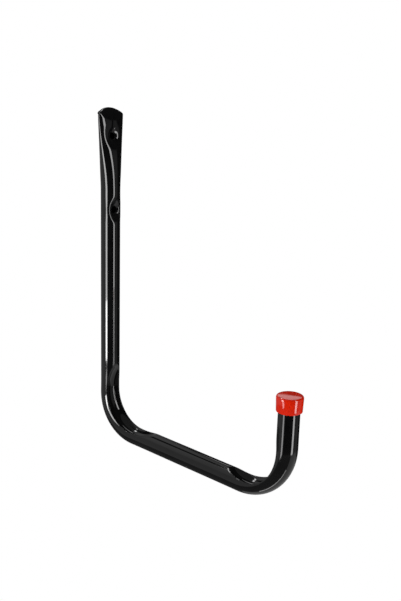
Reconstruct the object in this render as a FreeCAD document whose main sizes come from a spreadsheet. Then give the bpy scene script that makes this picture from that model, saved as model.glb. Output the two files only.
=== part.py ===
"""Wall hook bent from one steel tube, with a push-on cap on its upturned end.

The wall is the plane Y = 0. The leg stands against it, the arm runs out along -Y and the hook
turns up at the front. The origin lies on the wall, half way between the two screws.
"""
import FreeCAD
import Part
import Sketcher
import math
import os

V = FreeCAD.Vector

SIZES = {
    # the tube and its route, from the pinched end down the leg, out along the arm and up again
    "tube_diameter": 19.0,
    "tube_wall": 1.2,
    "screw_pitch": 70.5,
    "tip_above_screw": 26.5,
    "leg_below_screw": 188.0,
    "leg_bend_radius": 38.6,
    "arm_straight": 139.6,
    "upturn_bend_radius": 48.7,
    "upturn_straight": 44.8,
    # the pinched end: a long taper, pressed thin from the front and crowned at its lip
    "taper_length": 78.2,
    "pressed_thickness": 8.4,
    "lip_thickness": 2.7,
    "lip_seam": 3.0,
    "lip_crown_radius": 24.0,
    "die_angle": 31.6,
    "die_reach": 20.0,
    # the two screw holes and the dimples punched around them
    "screw_hole_diameter": 5.5,
    "lower_punch_radius": 10.0,
    "lower_punch_depth": 4.2,
    "upper_punch_radius": 6.0,
    "upper_punch_depth": 3.0,
    # the crease that runs from the upper dimple towards the lip
    "crease_radius": 2.0,
    "crease_depth": 0.9,
    "crease_length": 24.0,
    # the groove that the bending former leaves inside both bends
    "former_radius": 41.0,
    "former_nose_radius": 10.0,
    "leg_groove_depth": 7.5,
    "upturn_groove_depth": 10.0,
    # rounding of the metal where a dimple or a groove runs out into the tube
    "dent_rounding": 1.6,
    # the cap, a little wider at its top than at its rim
    "cap_wall": 1.7,
    "cap_flare": 0.5,
    "cap_top": 2.2,
    "cap_cover": 11.8,
    "cap_edge_radius": 1.8,
    "cap_clearance": 0.1,
}

# places along the taper, from the round tube (0) to the lip (1)
STATIONS = (0.0, 0.2, 0.4, 0.6, 0.8, 1.0)
# how the pressing eases in along the taper and out again at the lip
EASE_IN = 1.3
EASE_OUT = 1.5
# how the tube spreads sideways as it is pressed flat
SPREAD = 0.85
SPREAD_POWER = 1.72
DIAGONAL = math.sqrt(0.5)


def make_sheet():
    table = doc.addObject("Spreadsheet::Sheet", "Sizes")
    for row, (name, number) in enumerate(SIZES.items(), start=1):
        table.set(f"A{row}", name)
        table.set(f"B{row}", str(number))
        table.setAlias(f"B{row}", name)
    doc.recompute()
    return table


doc = FreeCAD.newDocument("garage_hook")
sheet = make_sheet()


def size(name):
    return f"Sizes.{name}"


def value(expression):
    """The present value of an expression on the sheet."""
    return float(sheet.evalExpression(expression))


# heights and depths that the pieces share, as expressions on the sheet
TUBE_RADIUS = f"({size('tube_diameter')} / 2)"
UPPER_SCREW_Z = f"({size('screw_pitch')} / 2)"
LOWER_SCREW_Z = f"(-{size('screw_pitch')} / 2)"
TIP_Z = f"({UPPER_SCREW_Z} + {size('tip_above_screw')})"
ROUND_Z = f"({TIP_Z} - {size('taper_length')})"
BEND_Z = f"({LOWER_SCREW_Z} - {size('leg_below_screw')})"
ARM_Z = f"({BEND_Z} - {size('leg_bend_radius')})"
UPTURN_BEND_Z = f"({ARM_Z} + {size('upturn_bend_radius')})"
UPTURN_END_Z = f"({UPTURN_BEND_Z} + {size('upturn_straight')})"
LEG_Y = f"(-{TUBE_RADIUS})"
ARM_START_Y = f"({LEG_Y} - {size('leg_bend_radius')})"
ARM_END_Y = f"({ARM_START_Y} - {size('arm_straight')})"
UPTURN_Y = f"({ARM_END_Y} - {size('upturn_bend_radius')})"
UPPER_STATION = f"(({UPPER_SCREW_Z} - {ROUND_Z}) / {size('taper_length')})"


# the pressed section at a station of the taper


def half_depth(station):
    """Half of the pressed tube, from front to back."""
    pressed = f"({TUBE_RADIUS} - {size('pressed_thickness')} / 2)"
    return f"({TUBE_RADIUS} - {pressed} * (1 - (1 - {station} ^ {EASE_IN}) ^ {EASE_OUT}))"


def half_width(station):
    """Half of the pressed tube, from side to side: what it loses in depth it gains in width."""
    flatness = f"({half_depth(station)} / {TUBE_RADIUS}) ^ {SPREAD_POWER}"
    return f"({TUBE_RADIUS} * (1 + {SPREAD} * (1 - {flatness})))"


def front_y(station):
    return f"({LEG_Y} - {half_depth(station)})"


def station_z(station):
    return f"({ROUND_Z} + {size('taper_length')} * {station})"


# sketches


def plane(body, role):
    for feature in body.Origin.OriginFeatures:
        if feature.Role == role:
            return feature
    raise ValueError(role)


def new_sketch(body, name, role, **offset):
    """Sketch on an origin plane, with its own origin moved by expressions for x, y and z."""
    sketch = body.newObject("Sketcher::SketchObject", name)
    sketch.AttachmentSupport = [(plane(body, role), "")]
    sketch.MapMode = "FlatFace"
    for axis, expression in offset.items():
        sketch.setExpression(f"AttachmentOffset.Base.{axis}", expression)
    return sketch


def constrain(sketch, kind, *places):
    sketch.addConstraint(Sketcher.Constraint(kind, *places))


def dimension(sketch, name, expression, kind, *places):
    """Adds a named dimension and binds it to the sheet."""
    index = sketch.addConstraint(Sketcher.Constraint(kind, *places, value(expression)))
    sketch.renameConstraint(index, name)
    sketch.setExpression(f"Constraints.{name}", expression)


def line(sketch, start, end):
    return sketch.addGeometry(Part.LineSegment(V(*start, 0), V(*end, 0)))


def arc(sketch, centre, radius, first, last):
    circle = Part.Circle(V(*centre, 0), V(0, 0, 1), radius)
    return sketch.addGeometry(Part.ArcOfCircle(circle, first, last))


# the round run of the tube


def route_sketch(body):
    """Centre line of the round tube, from the foot of the taper to the upturned end."""
    leg = value(f"{ROUND_Z} - {BEND_Z}")
    leg_radius = value(size("leg_bend_radius"))
    upturn_radius = value(size("upturn_bend_radius"))
    arm_end = -leg_radius - value(size("arm_straight"))
    front = arm_end - upturn_radius
    arm_height = -leg - leg_radius
    rise = arm_height + upturn_radius

    sketch = new_sketch(body, body.Name + "_route", "YZ_Plane", x=LEG_Y, y=ROUND_Z)
    line(sketch, (0, 0), (0, -leg))
    arc(sketch, (-leg_radius, -leg), leg_radius, -math.pi / 2, 0)
    line(sketch, (-leg_radius, arm_height), (arm_end, arm_height))
    arc(sketch, (arm_end, rise), upturn_radius, math.pi, 1.5 * math.pi)
    line(sketch, (front, rise), (front, rise + value(size("upturn_straight"))))
    constrain(sketch, "Coincident", 0, 1, -1, 1)
    constrain(sketch, "Vertical", 0)
    constrain(sketch, "Horizontal", 2)
    constrain(sketch, "Vertical", 4)
    constrain(sketch, "Tangent", 0, 2, 1, 2)
    constrain(sketch, "Tangent", 1, 1, 2, 1)
    constrain(sketch, "Tangent", 2, 2, 3, 2)
    constrain(sketch, "Tangent", 3, 1, 4, 1)
    dimension(sketch, "leg", f"{ROUND_Z} - {BEND_Z}", "Distance", 0)
    dimension(sketch, "leg_bend", size("leg_bend_radius"), "Radius", 1)
    dimension(sketch, "arm", size("arm_straight"), "Distance", 2)
    dimension(sketch, "upturn_bend", size("upturn_bend_radius"), "Radius", 3)
    dimension(sketch, "upturn", size("upturn_straight"), "Distance", 4)
    return sketch


def round_section(body, name, radius):
    """The round section at the foot of the taper."""
    sketch = new_sketch(body, name, "XY_Plane", y=LEG_Y, z=ROUND_Z)
    sketch.addGeometry(Part.Circle(V(0, 0, 0), V(0, 0, 1), value(radius)))
    constrain(sketch, "Coincident", 0, 3, -1, 1)
    dimension(sketch, "radius", radius, "Radius", 0)
    return sketch


# the tapered end


def pressed_section(body, name, station, inset):
    """The oval section at a station, drawn in by the inset."""
    sketch = new_sketch(body, name, "XY_Plane", y=LEG_Y, z=station_z(station))
    width = f"({half_width(station)} - {inset})"
    depth = f"({half_depth(station)} - {inset})"
    sketch.addGeometry(Part.Ellipse(V(value(width), 0, 0), V(0, value(depth), 0), V(0, 0, 0)))
    sketch.exposeInternalGeometry(0)
    constrain(sketch, "Coincident", 0, 3, -1, 1)
    constrain(sketch, "Horizontal", 1)
    dimension(sketch, "width", f"2 * {width}", "Distance", 1)
    dimension(sketch, "depth", f"2 * {depth}", "Distance", 2)
    return sketch


def tube_form(name, inset):
    """Solid run of the tube's outside, or of its bore where the inset is the wall."""
    body = doc.addObject("PartDesign::Body", name)
    radius = f"({TUBE_RADIUS} - {inset})"
    route = route_sketch(body)
    run_section = round_section(body, name + "_run_section", radius)
    doc.recompute()
    run = body.newObject("PartDesign::AdditivePipe", name + "_run")
    run.Profile = run_section
    run.Spine = (route, [f"Edge{number}" for number in range(1, 6)])
    doc.recompute()

    foot = round_section(body, name + "_taper_foot", radius)
    sections = []
    for number, station in enumerate(STATIONS[1:], start=1):
        sections.append(pressed_section(body, f"{name}_section_{number}", station, inset))
    doc.recompute()
    taper = body.newObject("PartDesign::AdditiveLoft", name + "_taper")
    taper.Profile = foot
    taper.Sections = sections
    doc.recompute()
    return body


def crown_end(body, drop):
    """Trims the taper's end to a crowned edge, dropped below the tip."""
    reach = f"({half_width(STATIONS[-1])} + {size('lip_thickness')})"
    rise = f"({drop} + {size('lip_thickness')})"
    radius, side, top = value(size("lip_crown_radius")), value(reach), value(rise)
    turn = math.asin(side / radius)
    corner = radius * (math.cos(turn) - 1)
    trim = new_sketch(body, body.Name + "_trim", "XZ_Plane", y=f"{TIP_Z} - {drop}")
    arc(trim, (0, -radius), radius, math.pi / 2 - turn, math.pi / 2 + turn)
    line(trim, (-side, corner), (-side, top))
    line(trim, (-side, top), (side, top))
    line(trim, (side, top), (side, corner))
    constrain(trim, "PointOnObject", 0, 3, -2)
    constrain(trim, "PointOnObject", -1, 1, 0)
    constrain(trim, "Coincident", 0, 2, 1, 1)
    constrain(trim, "Coincident", 1, 2, 2, 1)
    constrain(trim, "Coincident", 2, 2, 3, 1)
    constrain(trim, "Coincident", 3, 2, 0, 1)
    constrain(trim, "Vertical", 1)
    constrain(trim, "Vertical", 3)
    constrain(trim, "Symmetric", 2, 1, 2, 2, -2)
    dimension(trim, "crown", size("lip_crown_radius"), "Radius", 0)
    dimension(trim, "reach", f"2 * {reach}", "Distance", 2)
    dimension(trim, "rise", rise, "DistanceY", -1, 1, 2, 1)
    doc.recompute()
    crown = body.newObject("PartDesign::Pocket", body.Name + "_crown")
    crown.Profile = trim
    crown.Type = "ThroughAll"
    crown.Midplane = True
    doc.recompute()


# the tools that dent the tube


def dimple_punch(name, radius, y, z):
    ball = doc.addObject("Part::Sphere", name)
    ball.setExpression("Radius", radius)
    ball.setExpression("Placement.Base.y", y)
    ball.setExpression("Placement.Base.z", z)
    return ball


def bending_former(name, nose, y, z):
    """Round-nosed wheel that the tube is bent around, its axis along X."""
    wheel = doc.addObject("Part::Torus", name)
    wheel.Placement.Rotation = FreeCAD.Rotation(V(0, 1, 0), -90)
    wheel.setExpression("Radius1", f"{size('former_radius')} - {size('former_nose_radius')}")
    wheel.setExpression("Radius2", nose)
    wheel.setExpression("Placement.Base.y", y)
    wheel.setExpression("Placement.Base.z", z)
    return wheel


def lip_die(name, growth):
    """Slanted block that presses the front of the end back to the lip."""
    reach = size("die_reach")
    lip_y = f"({LEG_Y} + {size('pressed_thickness')} / 2 - {size('lip_thickness')})"
    sunk = f"({growth} - {reach})"
    across, along = f"cos({size('die_angle')})", f"sin({size('die_angle')})"
    block = doc.addObject("Part::Box", name)
    block.Placement.Rotation = FreeCAD.Rotation(V(1, 0, 0), -1)
    block.setExpression("Placement.Rotation.Angle", size("die_angle"))
    block.setExpression("Length", f"2 * {reach}")
    block.setExpression("Width", reach)
    block.setExpression("Height", f"2 * {reach}")
    block.setExpression("Placement.Base.x", f"-{reach}")
    block.setExpression("Placement.Base.y", f"{lip_y} + {sunk} * {across} - {reach} * {along}")
    block.setExpression("Placement.Base.z", f"{TIP_Z} - {sunk} * {along} - {reach} * {across}")
    return block


def dent_tools(tag, growth):
    """Punches, formers and die, grown by the wall where they bound the bore."""
    lower_nose = size("lower_punch_radius")
    upper_nose = size("upper_punch_radius")
    lower_y = f"-{size('tube_diameter')} + {size('lower_punch_depth')} - {lower_nose}"
    upper_y = f"{front_y(UPPER_STATION)} + {size('upper_punch_depth')} - {upper_nose}"
    tools = [
        dimple_punch("lower_punch" + tag, f"{lower_nose} + {growth}", lower_y, LOWER_SCREW_Z),
        dimple_punch("upper_punch" + tag, f"{upper_nose} + {growth}", upper_y, UPPER_SCREW_Z),
        lip_die("lip_die" + tag, growth),
    ]
    bends = (
        ("leg", ARM_START_Y, BEND_Z, -1),
        ("upturn", ARM_END_Y, UPTURN_BEND_Z, 1),
    )
    nose = f"{size('former_nose_radius')} + {growth}"
    for name, y, z, inward in bends:
        bend, depth = size(name + "_bend_radius"), size(name + "_groove_depth")
        shift = f"(({size('former_radius')} - ({bend} - {TUBE_RADIUS} + {depth})) * {DIAGONAL:.6f})"
        former = bending_former(name + "_former" + tag, nose, f"{y} + {inward} * {shift}", f"{z} + {shift}")
        tools.append(former)
    return tools


def crease_tool(name, growth):
    """Round bar that leans back from the upper dimple and runs out short of the lip."""
    top_station = f"({UPPER_STATION} + {size('crease_length')} / {size('taper_length')})"
    rise = f"({front_y(top_station)} - {front_y(UPPER_STATION)} - {size('crease_depth')})"
    bar = doc.addObject("Part::Cylinder", name)
    bar.Placement.Rotation = FreeCAD.Rotation(V(1, 0, 0), -1)
    bar.setExpression("Placement.Rotation.Angle", f"atan({rise} / {size('crease_length')})")
    bar.setExpression("Radius", f"{size('crease_radius')} + {growth}")
    bar.setExpression("Height", f"2 * {size('crease_length')}")
    foot = f"{front_y(UPPER_STATION)} + {size('crease_depth')} - {size('crease_radius')}"
    bar.setExpression("Placement.Base.y", foot)
    bar.setExpression("Placement.Base.z", UPPER_SCREW_Z)
    return bar


def screw_drill(name, z):
    """Straight hole through the front and the back of the tube."""
    drill = doc.addObject("Part::Cylinder", name)
    drill.Placement.Rotation = FreeCAD.Rotation(V(1, 0, 0), 90)
    drill.setExpression("Radius", f"{size('screw_hole_diameter')} / 2")
    drill.setExpression("Height", size("tube_diameter"))
    drill.setExpression("Placement.Base.z", z)
    return drill


def cut(name, base, tools):
    joined = doc.addObject("Part::MultiFuse", name + "_tools")
    joined.Shapes = tools
    result = doc.addObject("Part::Cut", name)
    result.Base = base
    result.Tool = joined
    doc.recompute()
    return result


def is_dent(face):
    """True on the faces that a dimple punch or a bending former leaves."""
    surface = face.Surface
    if isinstance(surface, Part.Toroid):
        ring = value(f"{size('former_radius')} - {size('former_nose_radius')}")
        return math.isclose(surface.MajorRadius, ring, abs_tol=1e-6)
    return isinstance(surface, Part.Sphere)


def round_rims(name, base):
    """Rounds the edges where the dents meet the tube."""
    radius = value(size("dent_rounding"))
    rims = []
    for number, edge in enumerate(base.Shape.Edges, start=1):
        faces = base.Shape.ancestorsOfType(edge, Part.Face)
        if len(faces) == 2 and is_dent(faces[0]) != is_dent(faces[1]):
            rims.append((number, radius, radius))
    rounded = doc.addObject("Part::Fillet", name)
    rounded.Base = base
    rounded.Edges = rims
    doc.recompute()
    return rounded


# the cap


def make_cap():
    """Turned cap whose inner top rests on the tube's end, at its own origin."""
    body = doc.addObject("PartDesign::Body", "end_cap")
    inner = f"({TUBE_RADIUS} + {size('cap_clearance')})"
    bore, wall, flare = value(inner), value(size("cap_wall")), value(size("cap_flare"))
    top, cover, edge = value(size("cap_top")), value(size("cap_cover")), value(size("cap_edge_radius"))
    rim = bore + wall
    shoulder = rim + flare

    profile = new_sketch(body, "cap_profile", "XZ_Plane")
    line(profile, (0, 0), (bore, 0))
    line(profile, (bore, 0), (bore, -cover))
    line(profile, (bore, -cover), (rim, -cover))
    line(profile, (rim, -cover), (shoulder, top - edge))
    arc(profile, (shoulder - edge, top - edge), edge, 0, math.pi / 2)
    line(profile, (shoulder - edge, top), (0, top))
    line(profile, (0, top), (0, 0))
    constrain(profile, "Coincident", 0, 1, -1, 1)
    constrain(profile, "Coincident", 0, 2, 1, 1)
    constrain(profile, "Coincident", 1, 2, 2, 1)
    constrain(profile, "Coincident", 2, 2, 3, 1)
    constrain(profile, "Coincident", 3, 2, 4, 1)
    constrain(profile, "Tangent", 4, 2, 5, 1)
    constrain(profile, "Coincident", 5, 2, 6, 1)
    constrain(profile, "Coincident", 6, 2, 0, 1)
    for number in (0, 2, 5):
        constrain(profile, "Horizontal", number)
    for number in (1, 6):
        constrain(profile, "Vertical", number)
    constrain(profile, "Horizontal", 4, 3, 4, 1)
    dimension(profile, "inner", inner, "Distance", 0)
    dimension(profile, "cover", size("cap_cover"), "Distance", 1)
    dimension(profile, "wall", size("cap_wall"), "Distance", 2)
    dimension(profile, "flare", size("cap_flare"), "DistanceX", 3, 1, 3, 2)
    dimension(profile, "edge", size("cap_edge_radius"), "Radius", 4)
    dimension(profile, "top", size("cap_top"), "Distance", 6)
    doc.recompute()
    turned = body.newObject("PartDesign::Revolution", "cap_turned")
    turned.Profile = profile
    turned.ReferenceAxis = (profile, ["V_Axis"])
    turned.Angle = 360
    body.setExpression("Placement.Base.y", UPTURN_Y)
    body.setExpression("Placement.Base.z", UPTURN_END_Z)
    doc.recompute()
    return body


def make_tube():
    """Hollow tube: the dented outside less the dented bore and the screw holes."""
    wall = size("tube_wall")
    outside = tube_form("tube_outside", "0")
    crown_end(outside, "0")
    dented = cut("dented_outside", outside, dent_tools("", "0"))
    rounded = round_rims("rounded_outside", dented)
    bore = tube_form("tube_bore", wall)
    crown_end(bore, size("lip_seam"))
    bore_tools = dent_tools("_in_bore", wall) + [crease_tool("crease_in_bore", wall)]
    dented_bore = cut("dented_bore", bore, bore_tools)
    drills = [screw_drill("upper_drill", UPPER_SCREW_Z), screw_drill("lower_drill", LOWER_SCREW_Z)]
    return cut("hook_tube", rounded, [dented_bore, crease_tool("crease", "0")] + drills)


def check(pieces):
    """Stops before anything is written if a feature failed or a piece isn't one sound solid."""
    for item in doc.Objects:
        if "Invalid" in item.State or "Error" in item.State:
            raise RuntimeError(f"{item.Name} failed: {item.State}")
    for piece in pieces:
        if piece.Shape.isNull() or not piece.Shape.isValid() or len(piece.Shape.Solids) != 1:
            raise RuntimeError(f"{piece.Label} is not one sound solid")
        print(piece.Label, round(piece.Shape.Volume, 1), "cubic millimetres")


def main():
    pieces = [make_tube(), make_cap()]
    check(pieces)
    os.makedirs("parts", exist_ok=True)
    for piece in pieces:
        piece.Shape.exportStep(f"parts/{piece.Label}.step")


main()
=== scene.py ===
# %% [markdown]
# # A garage utility hook
# One steel tube is pinched flat at its top, bent twice and painted gloss black, and a red vinyl cap is pushed
# onto its upturned end. The imported CAD model gives the places, so this lesson starts by loading it.

# %% Load the frame
import math

import bmesh
import bpy
from mathutils import Matrix, Vector


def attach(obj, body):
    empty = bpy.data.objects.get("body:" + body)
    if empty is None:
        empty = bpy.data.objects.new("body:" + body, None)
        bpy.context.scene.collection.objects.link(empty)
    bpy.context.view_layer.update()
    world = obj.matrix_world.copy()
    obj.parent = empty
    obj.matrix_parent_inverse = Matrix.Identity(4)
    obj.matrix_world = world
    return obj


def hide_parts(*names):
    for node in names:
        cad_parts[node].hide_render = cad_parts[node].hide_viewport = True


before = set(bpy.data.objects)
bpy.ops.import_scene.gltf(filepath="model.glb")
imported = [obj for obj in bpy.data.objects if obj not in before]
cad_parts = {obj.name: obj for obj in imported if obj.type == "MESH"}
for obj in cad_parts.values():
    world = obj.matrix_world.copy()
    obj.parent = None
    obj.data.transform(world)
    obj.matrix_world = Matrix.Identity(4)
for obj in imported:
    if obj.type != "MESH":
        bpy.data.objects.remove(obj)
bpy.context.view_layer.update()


# %% [markdown]
# ## The run of the tube
# Gloss paint shows every facet as a broken highlight, so the tube is made again as a fine, even grid of faces.
# It could be a curve with a bevel, but the dents need rows of faces where they are pressed. So one circle
# is extruded along the straight runs and spun round the bends, with short steps where the metal will move
# and long ones elsewhere. The lengths are those of the CAD model, in millimetres.

# %% Sizes of the tube
TUBE_RADIUS = 9.5
SIDES = 108
LEG_Y = -9.5
TAPER_FOOT_Z = -16.45
LEG_BEND = Vector((0, -48.1, -223.25))
ARM_Z = -261.85
UPTURN_BEND = Vector((0, -187.7, -213.15))
UPTURN_Y = -236.4
UPTURN_END_Z = -168.35
print("tube of", 2 * TUBE_RADIUS, "mm with", SIDES, "sides")


# %% Rings along the route
def ring_of(geometry, moved):
    """The edges of the new ring, both of whose ends have moved."""
    return [g for g in geometry if isinstance(g, bmesh.types.BMEdge) and set(g.verts) <= moved]


def extend(mesh, ring, move, step):
    """Extrudes a ring of edges along a straight run and returns the last ring."""
    steps = max(1, round(move.length / step))
    for _ in range(steps):
        made = bmesh.ops.extrude_edge_only(mesh, edges=ring)["geom"]
        moved = {g for g in made if isinstance(g, bmesh.types.BMVert)}
        bmesh.ops.translate(mesh, verts=list(moved), vec=move / steps)
        ring = ring_of(made, moved)
    return ring


def bend(mesh, ring, centre, steps):
    """Spins a ring of edges a quarter turn about a bend's centre and returns the last ring."""
    last = bmesh.ops.spin(mesh, geom=ring, cent=centre, axis=(1, 0, 0), angle=-math.pi / 2, steps=steps,
                          use_duplicate=False)["geom_last"]
    return [g for g in last if isinstance(g, bmesh.types.BMEdge)]


# %% Lay the tube from the taper's foot to its open end
FINE_STEP, COARSE_STEP = 1.0, 8.0
LEG_BEND_STEPS, UPTURN_BEND_STEPS = 56, 70
DIMPLED_LEG_RUN, PLAIN_LEG_RUN = 44.0, 115.0
GROOVED_ARM_RUN, PLAIN_ARM_RUN = 40.0, 50.0
GROOVED_UPTURN_RUN = 26.0
leg_rest = LEG_BEND.z - TAPER_FOOT_Z + (DIMPLED_LEG_RUN + PLAIN_LEG_RUN)
arm_rest = UPTURN_BEND.y - LEG_BEND.y + (GROOVED_ARM_RUN + PLAIN_ARM_RUN)
upturn_rest = UPTURN_END_Z - UPTURN_BEND.z - GROOVED_UPTURN_RUN

tube = bmesh.new()
bmesh.ops.create_circle(tube, segments=SIDES, radius=TUBE_RADIUS,
                        matrix=Matrix.Translation((0, LEG_Y, TAPER_FOOT_Z)))
foot = list(tube.edges)
ring = extend(tube, foot, Vector((0, 0, -DIMPLED_LEG_RUN)), FINE_STEP)
ring = extend(tube, ring, Vector((0, 0, -PLAIN_LEG_RUN)), COARSE_STEP)
ring = extend(tube, ring, Vector((0, 0, leg_rest)), FINE_STEP)
ring = bend(tube, ring, LEG_BEND, LEG_BEND_STEPS)
ring = extend(tube, ring, Vector((0, -GROOVED_ARM_RUN, 0)), FINE_STEP)
ring = extend(tube, ring, Vector((0, -PLAIN_ARM_RUN, 0)), COARSE_STEP)
ring = extend(tube, ring, Vector((0, arm_rest, 0)), FINE_STEP)
ring = bend(tube, ring, UPTURN_BEND, UPTURN_BEND_STEPS)
ring = extend(tube, ring, Vector((0, 0, GROOVED_UPTURN_RUN)), FINE_STEP)
extend(tube, ring, Vector((0, 0, upturn_rest)), COARSE_STEP)
print("run of the tube:", len(tube.faces), "faces")

# %% [markdown]
# ## The pinched end
# A press flattens the top of the tube, and what it loses in depth it gains in width. Scaling the whole end
# would squeeze it evenly, but the real one eases from round to flat. So the run is first carried straight up,
# and then each point is moved to the flattened oval of its own height. A slanted die presses the front of the
# end back to a thin lip, and the last few rings turn in over the lip's arched edge.

# %% The flattening law
TIP_Z = 61.75
FLAT_FOOT_Z = -4.7
PRESSED_THICKNESS = 8.4
LIP_HALF_WIDTH = 15.5
SPREAD_IN, SPREAD_OUT = 1.5, 1.7


def station(z, start):
    """Place along the taper, 0 where it starts and 1 at the tip."""
    return min(max((z - start) / (TIP_Z - start), 0), 1)


def half_depth(z):
    """The depth eases from round to pressed."""
    along = station(z, FLAT_FOOT_Z)
    return TUBE_RADIUS - (TUBE_RADIUS - PRESSED_THICKNESS / 2) * along ** 2 * (3 - 2 * along)


def half_width(z):
    """The width starts to spread a little lower down."""
    along = 1 - (1 - station(z, TAPER_FOOT_Z) ** SPREAD_IN) ** SPREAD_OUT
    return TUBE_RADIUS + (LIP_HALF_WIDTH - TUBE_RADIUS) * along


print("pressed from", 2 * TUBE_RADIUS, "mm to", PRESSED_THICKNESS, "by", 2 * half_width(TIP_Z), "mm")

# %% The die and the arched lip
LIP_THICKNESS = 2.7
LIP_BACK_Y = LEG_Y + PRESSED_THICKNESS / 2
LIP_FRONT_Y = LIP_BACK_Y - LIP_THICKNESS
LIP_CROWN_RADIUS = 24.0
DIE_SLOPE = math.tan(math.radians(31.6))


def crown_drop(x):
    """How far the lip's arched edge lies below its top."""
    return LIP_CROWN_RADIUS - math.sqrt(LIP_CROWN_RADIUS ** 2 - x ** 2)


def soft_max(one, other, blend):
    """The larger of two numbers, with the corner between them rounded over the blend."""
    near = max(blend - abs(one - other), 0) / blend
    return max(one, other) + near * near * blend / 4


print("lip of", LIP_THICKNESS, "mm, its corners", round(crown_drop(LIP_HALF_WIDTH), 2), "mm below its top")

# %% Carry the tube up and press it flat
LIP_EDGE_RADIUS = 0.9
LIP_SHOULDER_Z = TIP_Z - LIP_EDGE_RADIUS
CROWN_FOOT_Z = 46.0
DIE_BLEND = 1.6
before = set(tube.verts) - {vertex for edge in foot for vertex in edge.verts}
ring = extend(tube, foot, Vector((0, 0, LIP_SHOULDER_Z - TAPER_FOOT_Z)), FINE_STEP)
taper = set(tube.verts) - before
for vertex in taper:
    x, y, z = vertex.co
    share = max(z - CROWN_FOOT_Z, 0) / (LIP_SHOULDER_Z - CROWN_FOOT_Z)
    z -= share * crown_drop(x * half_width(TIP_Z) / TUBE_RADIUS)
    y = LEG_Y + (y - LEG_Y) * half_depth(z) / TUBE_RADIUS
    die_y = LIP_FRONT_Y - (TIP_Z - z) * DIE_SLOPE
    vertex.co = (x * half_width(z) / TUBE_RADIUS, soft_max(y, die_y, DIE_BLEND), z)
print("flattened", len(taper), "points")

# %% Turn the lip's edge in and close it
LIP_MIDDLE_Y = (LIP_FRONT_Y + LIP_BACK_Y) / 2
EDGE_STEPS = 4
inset = 0
for step in range(1, EDGE_STEPS + 1):
    turn = step / EDGE_STEPS * math.pi / 2
    rise = LIP_EDGE_RADIUS * (math.sin(turn) - math.sin(turn - math.pi / 2 / EDGE_STEPS))
    ring = extend(tube, ring, Vector((0, 0, rise)), rise)
    deeper = LIP_EDGE_RADIUS * (1 - math.cos(turn))
    narrower = (half_width(TIP_Z) - deeper) / (half_width(TIP_Z) - inset)
    thinner = (LIP_THICKNESS / 2 - deeper) / (LIP_THICKNESS / 2 - inset)
    for vertex in {vertex for edge in ring for vertex in edge.verts}:
        vertex.co.x *= narrower
        vertex.co.y = LIP_MIDDLE_Y + (vertex.co.y - LIP_MIDDLE_Y) * thinner
    inset = deeper
bmesh.ops.holes_fill(tube, edges=ring, sides=0)
bmesh.ops.recalc_face_normals(tube, faces=tube.faces)
print("with its pinched end:", len(tube.faces), "faces")

# %% [markdown]
# ## Dimples and grooves
# Punches seat the screw heads, and the wheels that the tube was bent around leave a groove inside each bend.
# Cutting them out would leave sharp rims, but pressed metal rolls over into a dent. So a dimple is a broad
# bell with a narrower one in its middle, and both fade to nothing at their rims. In a groove each point is
# moved onto the wheel, with the corner between wheel and tube blended, and the tube is widened a little
# beside the lower dimple and in the bends, where the metal had to go.

# %% Dimples and crease
UPPER_SCREW_Z, LOWER_SCREW_Z = 35.25, -35.25
DIMPLES = (
    {"z": LOWER_SCREW_Z, "across": 9.0, "along": 14.0, "depth": 4.0},
    {"z": LOWER_SCREW_Z, "across": 5.2, "along": 5.5, "depth": 2.4},
    {"z": UPPER_SCREW_Z, "across": 13.0, "along": 14.0, "depth": 1.8},
    {"z": UPPER_SCREW_Z, "across": 7.0, "along": 8.5, "depth": 2.3},
)
SWELL, SWELL_LENGTH = 0.1, 13.0
CREASE_WIDTH, CREASE_DEPTH, CREASE_LENGTH = 2.6, 0.6, 24.0


def bell(reach):
    """Falls smoothly from 1 in the middle to 0 at the rim."""
    return max(1 - reach ** 2, 0) ** 2


def press_dimple(vertex, dimple):
    """Pushes the front of the tube back in a soft round bell."""
    rise = vertex.co.z - dimple["z"]
    reach = math.hypot(vertex.co.x / dimple["across"], rise / dimple["along"])
    if vertex.co.y < LEG_Y:
        vertex.co.y += dimple["depth"] * bell(reach)


def swell_sides(vertex):
    """Widens the front of the round tube beside the lower dimple, where the metal is pushed aside."""
    front = max((LEG_Y - vertex.co.y) / TUBE_RADIUS, 0)
    vertex.co.x *= 1 + SWELL * front * bell((vertex.co.z - LOWER_SCREW_Z) / SWELL_LENGTH)


def press_crease(vertex):
    """Scores the front along its middle, from the upper dimple towards the lip."""
    along = (vertex.co.z - UPPER_SCREW_Z) / CREASE_LENGTH
    if 0 < along < 1 and vertex.co.y < LEG_Y:
        vertex.co.y += CREASE_DEPTH * bell(vertex.co.x / CREASE_WIDTH) * (1 - along ** 4)


print("dimples at", sorted({dimple["z"] for dimple in DIMPLES}))

# %% Grooves in the bends
BENDS = (
    {"centre": LEG_BEND, "inward": -1, "former_radius": 41.0, "depth": 7.5},
    {"centre": UPTURN_BEND, "inward": 1, "former_radius": 36.0, "depth": 13.0},
)
FORMER_NOSE_RADIUS = 10.0
GROOVE_BLEND = 1.7
BEND_SWELL, BEND_SWELL_ANGLE = 0.1, math.radians(65)


def press_groove(vertex, bent):
    """Pushes the inside of a bend outwards onto the former's round rim."""
    centre, former_radius = bent["centre"], bent["former_radius"]
    radius = abs(centre.z - ARM_Z)
    shift = (former_radius - radius + TUBE_RADIUS - bent["depth"]) * math.sqrt(0.5)
    hub = Vector((vertex.co.x, centre.y + bent["inward"] * shift, centre.z + shift))
    spoke = vertex.co - hub
    if vertex.normal.dot(spoke) < 0 and abs(vertex.co.x) < FORMER_NOSE_RADIUS:
        nose = math.sqrt(FORMER_NOSE_RADIUS ** 2 - vertex.co.x ** 2)
        rim = former_radius - FORMER_NOSE_RADIUS + nose
        vertex.co = hub + spoke.normalized() * soft_max(spoke.length, rim, GROOVE_BLEND)


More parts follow.
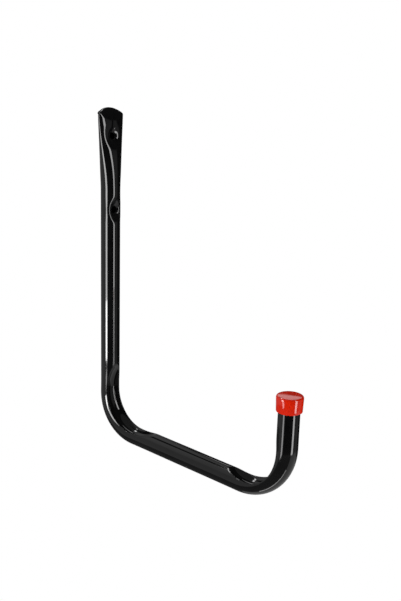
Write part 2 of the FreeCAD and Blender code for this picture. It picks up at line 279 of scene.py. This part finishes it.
def swell_bend(vertex, bent):
    """Widens the tube in the middle of a bend, where the groove's metal goes sideways."""
    centre = bent["centre"]
    off_middle = math.atan2(centre.z - vertex.co.z, bent["inward"] * (centre.y - vertex.co.y)) - math.pi / 4
    vertex.co.x *= 1 + BEND_SWELL * bell(off_middle / BEND_SWELL_ANGLE)


print("groove depths:", [bent["depth"] for bent in BENDS])

# %% Press the tube
LOWER_PART_Z = LEG_BEND.z / 2
tube.normal_update()
for vertex in tube.verts:
    if vertex.co.z < LOWER_PART_Z:
        for bent in BENDS:
            press_groove(vertex, bent)
        for bent in BENDS:
            swell_bend(vertex, bent)
    swell_sides(vertex)
    press_crease(vertex)
    for dimple in DIMPLES:
        press_dimple(vertex, dimple)
print("pressed", len(tube.verts), "points")

# %% [markdown]
# ## Screw holes and the wall
# Each screw goes through the front and the back of the leg. A Boolean could drill them, but it would leave
# slivers in the grid. So the faces inside a hole are deleted and the edge that is left is pulled onto a true
# circle. A Solidify modifier then gives the sheet its wall, inwards, so that the holes and the open end show
# the metal's thickness. The wall thins towards the lip, where front and back meet.

# %% Open the holes
SCREW_HOLE_RADIUS = 2.75


def open_hole(mesh, z):
    """Deletes the faces round a screw's axis and rounds the edge that is left."""
    def reach(point):
        return math.hypot(point.x, point.z - z)

    inside = [face for face in mesh.faces if reach(face.calc_center_median()) < SCREW_HOLE_RADIUS]
    bmesh.ops.delete(mesh, geom=inside, context="FACES")
    for vertex in mesh.verts:
        if vertex.is_boundary and reach(vertex.co) < 2 * SCREW_HOLE_RADIUS:
            scale = SCREW_HOLE_RADIUS / reach(vertex.co)
            vertex.co.x *= scale
            vertex.co.z = z + (vertex.co.z - z) * scale


for screw_z in (UPPER_SCREW_Z, LOWER_SCREW_Z):
    open_hole(tube, screw_z)
print("with its holes:", len(tube.faces), "faces")

# %% Pieces from a bmesh
MM = 0.001
SHARP_ANGLE = math.radians(50)


def add_object(name, data):
    """A new object in the scene."""
    thing = bpy.data.objects.new(name, data)
    bpy.context.scene.collection.objects.link(thing)
    return thing


def mesh_from(name, mesh):
    """Keeps a bmesh as mesh data and frees it."""
    data = bpy.data.meshes.new(name)
    mesh.to_mesh(data)
    mesh.free()
    return data


def finish_piece(mesh, name, node):
    """Turns a bmesh in millimetres into a smooth piece in metres that stands for a CAD node."""
    bmesh.ops.scale(mesh, verts=mesh.verts, vec=(MM, MM, MM))
    data = mesh_from(name, mesh)
    data.shade_smooth()
    data.set_sharp_from_angle(angle=SHARP_ANGLE)
    piece = add_object(name, data)
    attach(piece, "root")
    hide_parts(node)
    print(name, "has", len(data.polygons), "faces")
    return piece


# %% The tube's wall
TUBE_WALL = 1.2
LIP_WALL_SHARE = 0.1
hook = finish_piece(tube, "pressed_tube", "hook_tube")
sheet = hook.vertex_groups.new(name="sheet")
for vertex in hook.data.vertices:
    closing = min(max(vertex.co.z / MM - UPPER_SCREW_Z, 0) / (TIP_Z - UPPER_SCREW_Z), 1)
    sheet.add([vertex.index], 1 - closing, "REPLACE")
wall = hook.modifiers.new("wall", "SOLIDIFY")
wall.thickness = TUBE_WALL * MM
wall.offset = -1
wall.vertex_group = sheet.name
wall.thickness_vertex_group = LIP_WALL_SHARE
print("wall of", TUBE_WALL, "mm")

# %% [markdown]
# ## The cap
# The cap is dipped vinyl, so its corners are soft. A cylinder would do from afar, but the real one flares a
# little to its top. Its half section is drawn as a few points, spun about the upturn and bevelled.

# %% Spin the cap
CAP_BORE_RADIUS = 9.6
CAP_RIM_RADIUS = 11.3
CAP_TOP_RADIUS = 11.85
CAP_TOP = 2.2
CAP_COVER = 11.8
CAP_SIDES = 96
MERGE_DISTANCE = 0.001
cap = bmesh.new()
section = [(0, 0), (CAP_BORE_RADIUS, 0), (CAP_BORE_RADIUS, -CAP_COVER), (CAP_RIM_RADIUS, -CAP_COVER),
           (CAP_TOP_RADIUS, CAP_TOP), (0, CAP_TOP)]
points = [cap.verts.new((radius, UPTURN_Y, UPTURN_END_Z + height)) for radius, height in section]
outline = [cap.edges.new(pair) for pair in zip(points, points[1:])]
bmesh.ops.spin(cap, geom=points + outline, cent=(0, UPTURN_Y, 0), axis=(0, 0, 1), angle=2 * math.pi,
               steps=CAP_SIDES, use_merge=True, use_duplicate=False)
bmesh.ops.remove_doubles(cap, verts=cap.verts, dist=MERGE_DISTANCE)
bmesh.ops.recalc_face_normals(cap, faces=cap.faces)
print("cap before its corners are rounded:", len(cap.faces), "faces")

# %% Round its corners
RIM_TOLERANCE = 0.01
CAP_CORNERS = (
    {"radius": CAP_TOP_RADIUS, "height": CAP_TOP, "rounding": 1.8, "segments": 8},
    {"radius": CAP_RIM_RADIUS, "height": -CAP_COVER, "rounding": 0.6, "segments": 5},
    {"radius": CAP_BORE_RADIUS, "height": -CAP_COVER, "rounding": 0.4, "segments": 3},
)


def rim_edges(mesh, radius, height):
    """The edges of the circle that a corner of the section swept."""
    def on_rim(vertex):
        off_radius = math.hypot(vertex.co.x, vertex.co.y - UPTURN_Y) - radius
        off_height = vertex.co.z - UPTURN_END_Z - height
        return max(abs(off_radius), abs(off_height)) < RIM_TOLERANCE

    return [edge for edge in mesh.edges if all(on_rim(vertex) for vertex in edge.verts)]


for corner in CAP_CORNERS:
    bmesh.ops.bevel(cap, geom=rim_edges(cap, corner["radius"], corner["height"]), offset=corner["rounding"],
                    segments=corner["segments"], profile=0.5, affect="EDGES", material=-1)
vinyl_cap = finish_piece(cap, "vinyl_cap", "end_cap")

# %% [markdown]
# ## Shader maths
# A finish is worked out from patterns, which in the node editor means many small Math nodes and wires. So one
# class wraps a shader socket and turns plain Python sums into those nodes, and one method makes every other
# node.


# %% Sockets as numbers
class Signal:
    """A shader socket that can be added and multiplied."""

    def __init__(self, tree, socket):
        self.tree = tree
        self.socket = socket

    def combine(self, operation, first, second):
        node = self.tree.add("ShaderNodeMath", {"operation": operation}, {0: first, 1: second})
        return node.out(0)

    def __add__(self, other):
        return self.combine("ADD", self, other)

    def __radd__(self, other):
        return self.combine("ADD", other, self)

    def __mul__(self, other):
        return self.combine("MULTIPLY", self, other)

    def __rmul__(self, other):
        return self.combine("MULTIPLY", other, self)


# %% Nodes from one method
class Node:
    """One shader node and its outputs as signals."""

    def __init__(self, tree, node):
        self.tree = tree
        self.node = node

    def out(self, name):
        return Signal(self.tree, self.node.outputs[name])


class Tree:
    """A node tree that is built by one method."""

    def __init__(self, tree):
        self.tree = tree
        tree.nodes.clear()

    def add(self, kind, settings, inputs):
        """Adds a node, sets it up, then fills its sockets with values or links."""
        node = self.tree.nodes.new(kind)
        for name, value in settings.items():
            if name == "stops":
                while len(node.color_ramp.elements) < len(value):
                    node.color_ramp.elements.new(1.0)
                for element, (position, colour) in zip(node.color_ramp.elements, value):
                    element.position = position
                    element.color = (*colour, 1)
            else:
                setattr(node, name, value)
        for name, value in inputs.items():
            if isinstance(value, Signal):
                self.tree.links.new(value.socket, node.inputs[name])
            else:
                node.inputs[name].default_value = value
        return Node(self, node)


# %% A finish for a piece
GLOSS_IOR = 1.6
RIPPLE_HEIGHT = 0.0004


def finish_of(name, piece):
    """A new material on a piece, and the tree to build it in."""
    material = bpy.data.materials.new(name)
    material.use_nodes = True
    piece.data.materials.append(material)
    return Tree(material.node_tree)


def noise(tree, place, scale, detail):
    """A cloudy pattern in the piece's own coordinates."""
    return tree.add("ShaderNodeTexNoise", {}, {"Vector": place, "Scale": scale, "Detail": detail}).out("Fac")


# %% [markdown]
# ## Gloss black paint
# Sprayed gloss paint is nearly a mirror, with a faint orange peel and a little haze where it was handled. A
# plain black would do for the colour, but it would look like plastic. So one noise clouds the colour and the
# gloss together, and a finer one ripples the surface.

# %% Paint the tube
PAINT_STOPS = [(0.3, (0.0018, 0.0018, 0.0019)), (0.7, (0.0034, 0.0034, 0.0036))]
paint = finish_of("gloss_black_paint", hook)
place = paint.add("ShaderNodeTexCoord", {}, {}).out("Object")
haze = noise(paint, place, 55.0, 4.0)
peel = noise(paint, place, 420.0, 2.0)
shade = paint.add("ShaderNodeValToRGB", {"stops": PAINT_STOPS}, {"Fac": haze}).out("Color")
ripple = paint.add("ShaderNodeBump", {}, {
    "Height": peel, "Strength": 0.02, "Distance": RIPPLE_HEIGHT}).out("Normal")
coat = paint.add("ShaderNodeBsdfPrincipled", {}, {
    "Base Color": shade, "Roughness": 0.035 + haze * 0.04, "Normal": ripple, "IOR": GLOSS_IOR}).out("BSDF")
paint.add("ShaderNodeOutputMaterial", {}, {"Surface": coat})
print("paint:", len(paint.tree.nodes), "nodes")

# %% [markdown]
# ## Red vinyl
# Vinyl is softer than paint. It is built the same way, but its colour clouds a little more finely, its gloss
# is broader and its ripples are weaker.

# %% Colour the cap
VINYL_STOPS = [(0.3, (0.46, 0.009, 0.0007)), (0.7, (0.58, 0.015, 0.0014))]
vinyl = finish_of("red_vinyl", vinyl_cap)
place = vinyl.add("ShaderNodeTexCoord", {}, {}).out("Object")
cloud = noise(vinyl, place, 130.0, 5.0)
grain = noise(vinyl, place, 700.0, 2.0)
shade = vinyl.add("ShaderNodeValToRGB", {"stops": VINYL_STOPS}, {"Fac": cloud}).out("Color")
ripple = vinyl.add("ShaderNodeBump", {}, {
    "Height": grain, "Strength": 0.008, "Distance": RIPPLE_HEIGHT}).out("Normal")
skin = vinyl.add("ShaderNodeBsdfPrincipled", {}, {
    "Base Color": shade, "Roughness": 0.05 + cloud * 0.05, "Normal": ripple, "IOR": GLOSS_IOR}).out("BSDF")
vinyl.add("ShaderNodeOutputMaterial", {}, {"Surface": skin})
print("finishes:", [material.name for material in bpy.data.materials])

# %% [markdown]
# ## The room
# A black gloss tube shows the room more than itself, so the room is part of the picture. A white background
# could come from more light, but that would wash out the red. So the world is white where the camera or a
# reflection sees it and dim as a light. A pale floor fades to white with its distance from the hook's origin,
# and it lies so far below that the fade is complete: it glows white all over and shows no shadow.

# %% White background
ROOM_LIGHT = 0.12
world = bpy.data.worlds.new("white_room")
bpy.context.scene.world = world
world.use_nodes = True
room = Tree(world.node_tree)
path = room.add("ShaderNodeLightPath", {}, {})
seen = room.add("ShaderNodeMath", {"operation": "MAXIMUM"},
                {0: path.out("Is Camera Ray"), 1: path.out("Is Glossy Ray")}).out(0)
seen = room.add("ShaderNodeMath", {"operation": "MAXIMUM"},
                {0: seen, 1: path.out("Is Transmission Ray")}).out(0)
glow = room.add("ShaderNodeBackground", {}, {
    "Color": (1, 1, 1, 1), "Strength": ROOM_LIGHT + seen * (1 - ROOM_LIGHT)}).out("Background")
room.add("ShaderNodeOutputWorld", {}, {"Surface": glow})
print("room lit at", ROOM_LIGHT)

# %% Floor
FLOOR_Z = -1.4
FLOOR_RADIUS = 6.0
FADE_START, FADE_END = 1.0, 1.25
floor_mesh = bmesh.new()
bmesh.ops.create_circle(floor_mesh, cap_ends=True, segments=96, radius=FLOOR_RADIUS,
                        matrix=Matrix.Translation((0, 0, FLOOR_Z)))
floor = add_object("floor", mesh_from("floor", floor_mesh))
sweep = finish_of("pale_floor", floor)
place = sweep.add("ShaderNodeTexCoord", {}, {}).out("Object")
spread = sweep.add("ShaderNodeVectorMath", {"operation": "LENGTH"}, {0: place}).out("Value")
fade = sweep.add("ShaderNodeMapRange", {"interpolation_type": "SMOOTHSTEP"},
                 {"Value": spread, "From Min": FADE_START, "From Max": FADE_END}).out("Result")
matt = sweep.add("ShaderNodeBsdfDiffuse", {}, {"Color": (0.86, 0.86, 0.86, 1)}).out("BSDF")
white = sweep.add("ShaderNodeEmission", {}, {"Color": (1, 1, 1, 1), "Strength": 1.0}).out("Emission")
both = sweep.add("ShaderNodeMixShader", {}, {0: fade, 1: matt, 2: white}).out("Shader")
sweep.add("ShaderNodeOutputMaterial", {}, {"Surface": both})
print("floor at", FLOOR_Z)

# %% [markdown]
# ## Soft boxes
# Each line of light on the tube is the mirror image of a lamp. A sun or a point lamp would give only a spot,
# so area lamps are used, and each stands where the tube mirrors it along the line that it should draw. Tall
# strips light the leg, low ones the arm and the upturn, and two behind the hook the cap's top and the lips of
# the grooves. A large one overhead fills the colours and is hidden from reflections.


# %% Place the lamps
def soft_box(name, place, aim, width, height, power):
    """An area lamp that faces a point."""
    lamp = bpy.data.lights.new(name, "AREA")
    lamp.shape = "RECTANGLE"
    lamp.size = width
    lamp.size_y = height
    lamp.energy = power
    holder = add_object(name, lamp)
    direction = Vector(aim) - Vector(place)
    facing = direction.to_track_quat("-Z", "Y").to_matrix().to_4x4()
    holder.matrix_world = Matrix.Translation(place) @ facing
    holder.visible_camera = False
    return holder


soft_box("left_strip", (-0.476, -0.016, -0.12), (0, -0.016, -0.12), 0.17, 0.45, 1.8)
soft_box("left_glow", (-0.47, -0.016, -0.295), (0, -0.016, -0.295), 0.17, 0.1, 0.6)
soft_box("left_low", (-0.715, -0.01, -0.5), (0, -0.236, -0.2), 0.2, 0.1, 0.24)
soft_box("front_strip", (0.02, -0.85, -0.025), (0.02, 0, -0.025), 0.19, 1.05, 3.68)
soft_box("low_strip", (-0.06, -0.33, -0.605), (-0.06, -0.33, 0), 0.03, 0.4, 0.128)
soft_box("low_box", (0.27, -0.475, -0.61), (0.27, -0.475, 0), 0.66, 0.95, 0.712)
soft_box("cap_glow", (0.786, 0.317, 0.196), (0, -0.236, -0.166), 0.4, 0.3, 0.413)
soft_box("back_strip", (0, 0.62, 1.0), (0, -0.15, -0.26), 0.8, 0.12, 2.55)
top_fill = soft_box("top_fill", (-0.2, 0.0, 1.3), (0, -0.12, 0), 0.9, 0.9, 10.0)
top_fill.visible_glossy = False
print("lamps:", len(bpy.data.lights))

# %% [markdown]
# ## Cards
# In a white room the whole tube would mirror white. A photographer puts dark and grey cards around such an
# object, so that it stays black between its lines. Here they are a ring with a disc under it and one over it,
# which glow in plain greys and are seen by reflections alone. Their greys are painted light and shade: bright
# bands stand in for lit patches of the room, dim ones for its shade.

# %% Cards that only reflections see
CARD_RADIUS = 0.9
CARD_SIDES = 128
CARD_CENTRE = Vector((0, -0.12, 0))
CARD_FOOT, CARD_TOP = -0.62, 1.2


def card(name, mesh):
    """A card that only reflections see."""
    piece = add_object(name, mesh_from(name, mesh))
    piece.visible_camera = False
    piece.visible_diffuse = False
    piece.visible_shadow = False
    return piece


def card_place(level):
    """The middle of the cards at a level."""
    return Matrix.Translation(CARD_CENTRE + Vector((0, 0, level)))


def grey_ramp(tree, stops, place):
    """Grey tones, each at its place between 0 and 1."""
    ramp = [(position, (tone, tone, tone)) for position, tone in stops]
    return tree.add("ShaderNodeValToRGB", {"stops": ramp}, {"Fac": place}).out("Color")


# %% Ring of cards
CARD_JOIN, JOIN_BLEND = 0.2, 0.1
# the ring's tones turn from 0 at -X through -Y, +X and +Y back to 1
# the tones are painted light: bright bands stand in for lit patches of the room, near-black ones for shade
LOW_TONES = [(0.0, 0.154), (0.03, 0.01), (0.27, 0.01), (0.3, 0.169), (0.38, 0.169), (0.41, 0.01),
             (0.608, 0.01), (0.618, 0.169), (0.72, 0.193), (0.86, 0.323), (0.96, 0.323)]
HIGH_TONES = [(0.0, 0.01), (0.622, 0.03), (0.634, 0.308), (0.665, 0.424), (0.71, 0.462), (0.73, 0.01),
              (0.77, 0.01), (0.79, 0.539), (0.94, 0.385), (0.98, 0.01)]
ring_mesh = bmesh.new()
bmesh.ops.create_circle(ring_mesh, segments=CARD_SIDES, radius=CARD_RADIUS, matrix=card_place(CARD_FOOT))
ring_rise = Vector((0, 0, CARD_TOP - CARD_FOOT))
extend(ring_mesh, list(ring_mesh.edges), ring_rise, ring_rise.length)
# the ring glows in these tones, painted light and shade that the tube mirrors
ring_glow = finish_of("ring_felt", card("card_ring", ring_mesh))
place = ring_glow.add("ShaderNodeTexCoord", {}, {}).out("Object")
turned = ring_glow.add("ShaderNodeMapping", {}, {"Vector": place, "Location": -CARD_CENTRE}).out("Vector")
around = ring_glow.add("ShaderNodeTexGradient", {"gradient_type": "RADIAL"}, {"Vector": turned}).out("Fac")
low_tone = grey_ramp(ring_glow, LOW_TONES, around)
high_tone = grey_ramp(ring_glow, HIGH_TONES, around)
level = ring_glow.add("ShaderNodeSeparateXYZ", {}, {0: place}).out("Z")
upper = ring_glow.add("ShaderNodeMapRange", {}, {
    "Value": level, "From Min": CARD_JOIN - JOIN_BLEND, "From Max": CARD_JOIN + JOIN_BLEND}).out("Result")
low_shine = ring_glow.add("ShaderNodeEmission", {}, {"Color": low_tone}).out("Emission")
high_shine = ring_glow.add("ShaderNodeEmission", {}, {"Color": high_tone}).out("Emission")
shine = ring_glow.add("ShaderNodeMixShader", {}, {0: upper, 1: low_shine, 2: high_shine}).out("Shader")
ring_glow.add("ShaderNodeOutputMaterial", {}, {"Surface": shine})
print("ring of", len(LOW_TONES), "low and", len(HIGH_TONES), "high tones")

# %% Cards under and over the hook
# the discs glow dimly: painted shade that the tube's underside and top mirror instead of the white floor and
# room
for name, level, tone in (("card_under", CARD_FOOT, 0.08), ("card_over", CARD_TOP, 0.15)):
    disc = bmesh.new()
    bmesh.ops.create_circle(disc, cap_ends=True, segments=CARD_SIDES, radius=CARD_RADIUS,
                            matrix=card_place(level))
    disc_glow = finish_of(name + "_felt", card(name, disc))
    shine = disc_glow.add("ShaderNodeEmission", {}, {"Strength": tone}).out("Emission")
    disc_glow.add("ShaderNodeOutputMaterial", {}, {"Surface": shine})
print("cards from", CARD_FOOT, "to", CARD_TOP)

# %% [markdown]
# ## The camera
# The camera stands to the left of the hook and a little above it. It could be aimed by eye, but the lines of
# light move with it. So its place and turn come from fitting the hook's outline, and the lens is given for
# the long side of the picture.

# %% Camera
CAMERA_PLACE = Vector((-0.51875, -0.60177, 0.07294))
right = Vector((0.6763, -0.7361, 0.0288))
up = Vector((0.1621, 0.1867, 0.9691))
back = right.cross(up).normalized()
up = back.cross(right).normalized()
camera_data = bpy.data.cameras.new("camera")
camera_data.sensor_width = 36.0
camera_data.lens = 47.92
camera_data.clip_start = 0.01
camera = add_object("camera", camera_data)
facing = Matrix((right.normalized(), up, back)).transposed().to_4x4()
camera.matrix_world = Matrix.Translation(CAMERA_PLACE) @ facing
bpy.context.scene.camera = camera
bpy.context.scene.view_settings.view_transform = "Standard"
print("camera at", tuple(round(c, 3) for c in CAMERA_PLACE))
